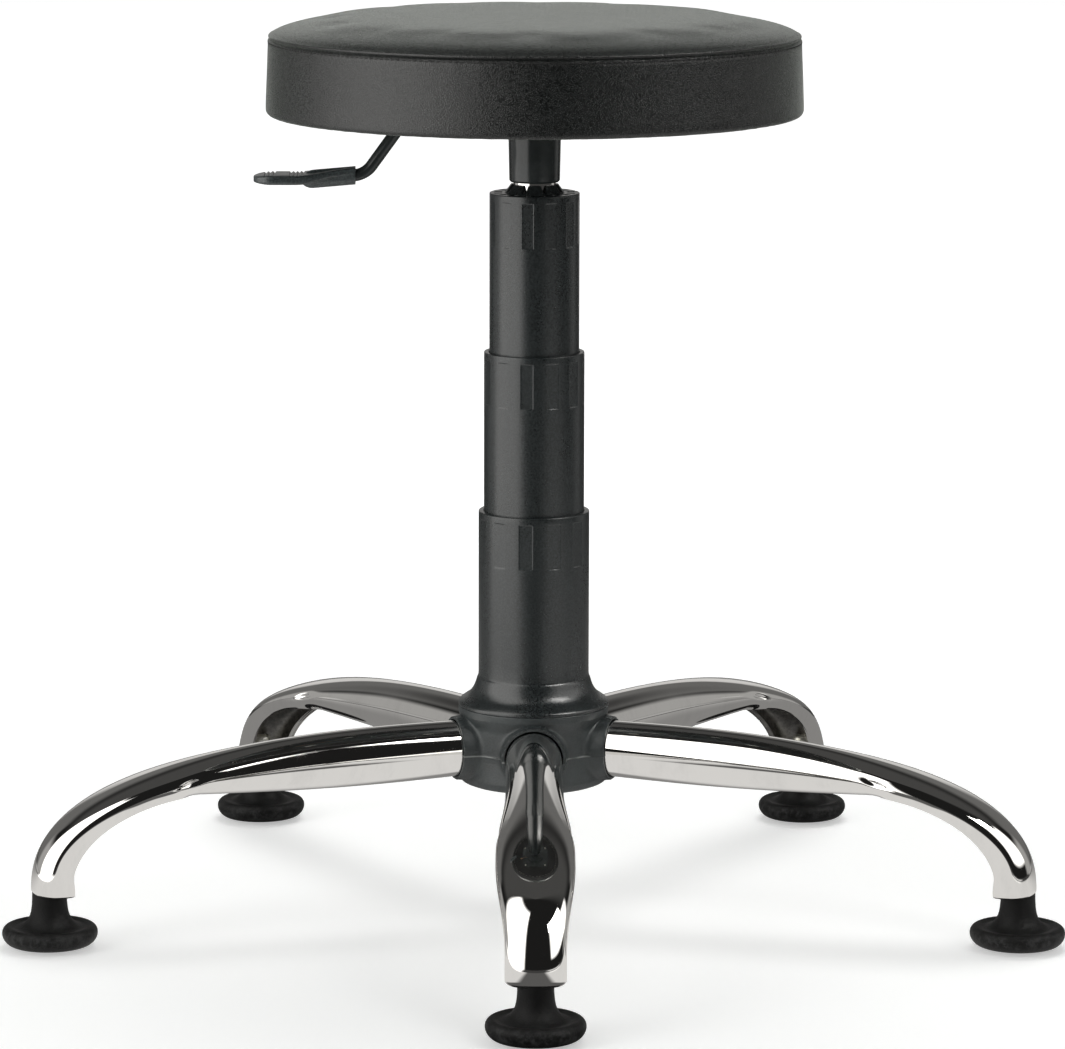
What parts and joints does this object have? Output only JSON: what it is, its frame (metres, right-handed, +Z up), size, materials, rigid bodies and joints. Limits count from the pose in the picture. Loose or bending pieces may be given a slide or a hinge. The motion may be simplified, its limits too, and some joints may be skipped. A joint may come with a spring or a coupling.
{
  "type": "height-adjustable stool",
  "caption": "Round padded work stool on a gas spring with a telescopic cover, a release lever and a star base of chrome legs on fixed glides.",
  "frame": {"origin": "on the floor, in the middle of the footprint's box; the column's axis stands 31.5 mm behind it", "axes": "+Z up, -Y towards the front leg, +X to the right as seen from the front; the release lever points to -X"},
  "size_m": [0.6898, 0.6592, 0.5936],
  "materials": {
    "leatherette": "grained dark grey leatherette with a soft sheen",
    "foam": "cut polyurethane foam",
    "plywood": "sanded plywood",
    "black_cloth": "thin non-woven cloth",
    "black_plastic": "fine-textured black plastic",
    "black_paint": "glossy black powder coat",
    "chrome": "bright chrome plate",
    "steel": "ground steel",
    "zinc": "zinc plate",
    "white_plastic": "natural acetal",
    "glide_plastic": "matte black moulded plastic",
    "rubber": "matte black rubber"
  },
  "bodies": {
    "base": {"hub_core": "steel", "hub_upper": "black_plastic", "hub_lower": "black_plastic", "column_tube": "black_paint", "guide_bush": "white_plastic", "bump_stop": "rubber", "thrust_bearing": "steel", "cover_stage_bottom": "black_plastic", "leg_1": "chrome", "leg_2": "chrome", "leg_3": "chrome", "leg_4": "chrome", "leg_5": "chrome", "leg_screw_1": "zinc", "leg_screw_2": "zinc", "leg_screw_3": "zinc", "leg_screw_4": "zinc", "leg_screw_5": "zinc", "glide_1": "glide_plastic", "glide_2": "glide_plastic", "glide_3": "glide_plastic", "glide_4": "glide_plastic", "glide_5": "glide_plastic", "glide_stem_1": "zinc", "glide_stem_2": "zinc", "glide_stem_3": "zinc", "glide_stem_4": "zinc", "glide_stem_5": "zinc"},
    "cover_middle": {"cover_stage_middle": "black_plastic"},
    "rod": {"piston_rod": "steel", "piston": "steel", "retaining_clip": "steel"},
    "seat": {"seat_top_cover": "leatherette", "seat_side_band": "leatherette", "seat_foam": "foam", "seat_board": "plywood", "seat_dust_cover": "black_cloth", "tee_nut_1": "zinc", "tee_nut_2": "zinc", "tee_nut_3": "zinc", "tee_nut_4": "zinc", "plate_screw_1": "zinc", "plate_screw_2": "zinc", "plate_screw_3": "zinc", "plate_screw_4": "zinc", "mount_plate": "black_paint", "socket_tube": "black_paint", "lever_pin": "steel", "gas_cylinder": "chrome", "rod_guide": "black_plastic", "cover_stage_top": "black_plastic"},
    "lever": {"lever_rod": "black_paint", "lever_paddle": "black_plastic"},
    "button": {"release_button": "black_plastic"}
  },
  "joints": [
    {"name": "seat_swivel", "type": "hinge", "parent": "base", "child": "rod", "pos_m": [0, 0.03153, 0.0863], "axis": [0, 0, 1], "continuous": true},
    {"name": "seat_height", "type": "slide", "parent": "rod", "child": "seat", "axis": [0, 0, 1], "range_m": [-0.13, 0]},
    {"name": "cover_travel", "type": "slide", "parent": "base", "child": "cover_middle", "axis": [0, 0, 1], "range_m": [-0.065, 0]},
    {"name": "lever_lift", "type": "hinge", "parent": "seat", "child": "lever", "pos_m": [-0.034, 0.03153, 0.5262], "axis": [0, 1, 0], "range_deg": [0, 4.5], "stiffness_Nm_per_rad": 0.8, "springref_deg": -6.88},
    {"name": "button_press", "type": "slide", "parent": "seat", "child": "button", "axis": [0, 0, -1], "range_m": [0, 0.003]}
  ],
  "couplings": [
    {"joint": "cover_travel", "follows": "seat_height", "ratio": 0.5},
    {"joint": "button_press", "follows": "lever_lift", "m_per_rad": 0.034}
  ]
}
